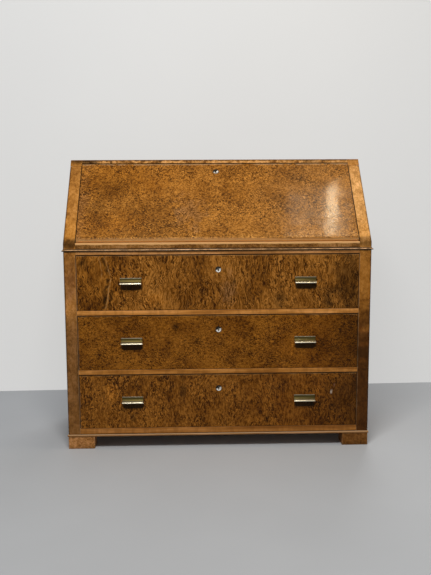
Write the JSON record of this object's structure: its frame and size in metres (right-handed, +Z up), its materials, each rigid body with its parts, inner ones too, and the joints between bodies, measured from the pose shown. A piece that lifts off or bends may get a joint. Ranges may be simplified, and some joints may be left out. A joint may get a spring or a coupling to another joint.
{
  "type": "secretaire chest",
  "caption": "Slant-front secretaire chest: long locking drawers below a sloping fall that opens to a desk with pigeonholes, on block feet.",
  "frame": {"origin": "on the floor, at the centre of the chest's outline seen from above, handles and mouldings included", "axes": "+X to the right across the width as seen from the front, +Y backwards from the drawer fronts to the back panel, +Z up"},
  "size_m": [1.11, 0.4765, 1.048],
  "materials": {
    "fall_burr": "varnished burr veneer, golden brown",
    "drawer_burr": "varnished burr veneer, deep brown",
    "case_veneer": "varnished straight-grained veneer",
    "rail_veneer": "varnished, orange tan",
    "edge_veneer": "varnished cross-banded edge",
    "pine": "bare, aged",
    "birch": "thinly varnished",
    "aged_brass": "worn and darkened in the hollows",
    "nickel": "worn nickel plate",
    "steel": "plain lock plate"
  },
  "bodies": {
    "case": {"side_panel_left": "case_veneer", "side_panel_right": "case_veneer", "stile_left": "case_veneer", "stile_right": "case_veneer", "top_board": "case_veneer", "desk_board": "edge_veneer", "writing_bed": "birch", "bottom_board": "pine", "back_panel": "pine", "top_rail": "rail_veneer", "upper_rail": "rail_veneer", "lower_rail": "rail_veneer", "bottom_rail": "rail_veneer", "waist_moulding": "rail_veneer", "base_frame": "rail_veneer", "foot_front_left": "case_veneer", "foot_front_right": "case_veneer", "foot_back_left": "case_veneer", "foot_back_right": "case_veneer", "cheek_left": "birch", "cheek_right": "birch", "stay_stud_left": "aged_brass", "stay_stud_right": "aged_brass", "fall_pivot_left": "aged_brass", "fall_pivot_right": "aged_brass", "pigeonhole_rack": "birch"},
    "fall": {"fall_panel": "fall_burr", "fall_escutcheon": "nickel", "fall_lock": "steel", "stay_bracket_left": "aged_brass", "stay_bracket_right": "aged_brass"},
    "fall_bolt": {"fall_lock_bolt": "aged_brass"},
    "stay_left": {"stay_arm_left": "aged_brass"},
    "stay_right": {"stay_arm_right": "aged_brass"},
    "lower_drawer": {"lower_drawer_front": "drawer_burr", "lower_drawer_box": "birch", "lower_drawer_bottom": "birch", "lower_drawer_handle_left": "aged_brass", "lower_drawer_handle_right": "aged_brass", "lower_drawer_escutcheon": "nickel", "lower_drawer_lock": "steel"},
    "lower_bolt": {"lower_drawer_lock_bolt": "aged_brass"},
    "middle_drawer": {"middle_drawer_front": "drawer_burr", "middle_drawer_box": "birch", "middle_drawer_bottom": "birch", "middle_drawer_handle_left": "aged_brass", "middle_drawer_handle_right": "aged_brass", "middle_drawer_escutcheon": "nickel", "middle_drawer_lock": "steel"},
    "middle_bolt": {"middle_drawer_lock_bolt": "aged_brass"},
    "upper_drawer": {"upper_drawer_front": "drawer_burr", "upper_drawer_box": "birch", "upper_drawer_bottom": "birch", "upper_drawer_handle_left": "aged_brass", "upper_drawer_handle_right": "aged_brass", "upper_drawer_escutcheon": "nickel", "upper_drawer_lock": "steel"},
    "upper_bolt": {"upper_drawer_lock_bolt": "aged_brass"},
    "small_left": {"small_drawer_left": "birch"},
    "small_right": {"small_drawer_right": "birch"}
  },
  "joints": [
    {"name": "fall_hinge", "type": "hinge", "parent": "case", "child": "fall", "pos_m": [0, -0.1983, 0.7655], "axis": [1, 0, 0], "range_deg": [0, 132.97]},
    {"name": "stay_left_pivot", "type": "hinge", "parent": "fall", "child": "stay_left", "pos_m": [-0.50455, -0.12168, 0.81986], "axis": [1, 0, 0], "range_deg": [-112.5, 0]},
    {"name": "stay_right_pivot", "type": "hinge", "parent": "fall", "child": "stay_right", "pos_m": [0.50455, -0.12168, 0.81986], "axis": [1, 0, 0], "range_deg": [-112.5, 0]},
    {"name": "fall_bolt_throw", "type": "slide", "parent": "fall", "child": "fall_bolt", "axis": [0, 0.6817, 0.7316], "range_m": [0, 0.008]},
    {"name": "lower_drawer_slide", "type": "slide", "parent": "case", "child": "lower_drawer", "axis": [0, -1, 0], "range_m": [0, 0.3]},
    {"name": "middle_drawer_slide", "type": "slide", "parent": "case", "child": "middle_drawer", "axis": [0, -1, 0], "range_m": [0, 0.3]},
    {"name": "upper_drawer_slide", "type": "slide", "parent": "case", "child": "upper_drawer", "axis": [0, -1, 0], "range_m": [0, 0.3]},
    {"name": "lower_bolt_throw", "type": "slide", "parent": "lower_drawer", "child": "lower_bolt", "axis": [0, 0, 1], "range_m": [0, 0.008]},
    {"name": "middle_bolt_throw", "type": "slide", "parent": "middle_drawer", "child": "middle_bolt", "axis": [0, 0, 1], "range_m": [0, 0.008]},
    {"name": "upper_bolt_throw", "type": "slide", "parent": "upper_drawer", "child": "upper_bolt", "axis": [0, 0, 1], "range_m": [0, 0.008]},
    {"name": "small_left_slide", "type": "slide", "parent": "case", "child": "small_left", "axis": [0, -1, 0], "range_m": [0, 0.12]},
    {"name": "small_right_slide", "type": "slide", "parent": "case", "child": "small_right", "axis": [0, -1, 0], "range_m": [0, 0.12]}
  ],
  "couplings": [
    {"joint": "stay_left_pivot", "follows": "fall_hinge", "ratio": -0.84433},
    {"joint": "stay_right_pivot", "follows": "fall_hinge", "ratio": -0.84433}
  ]
}
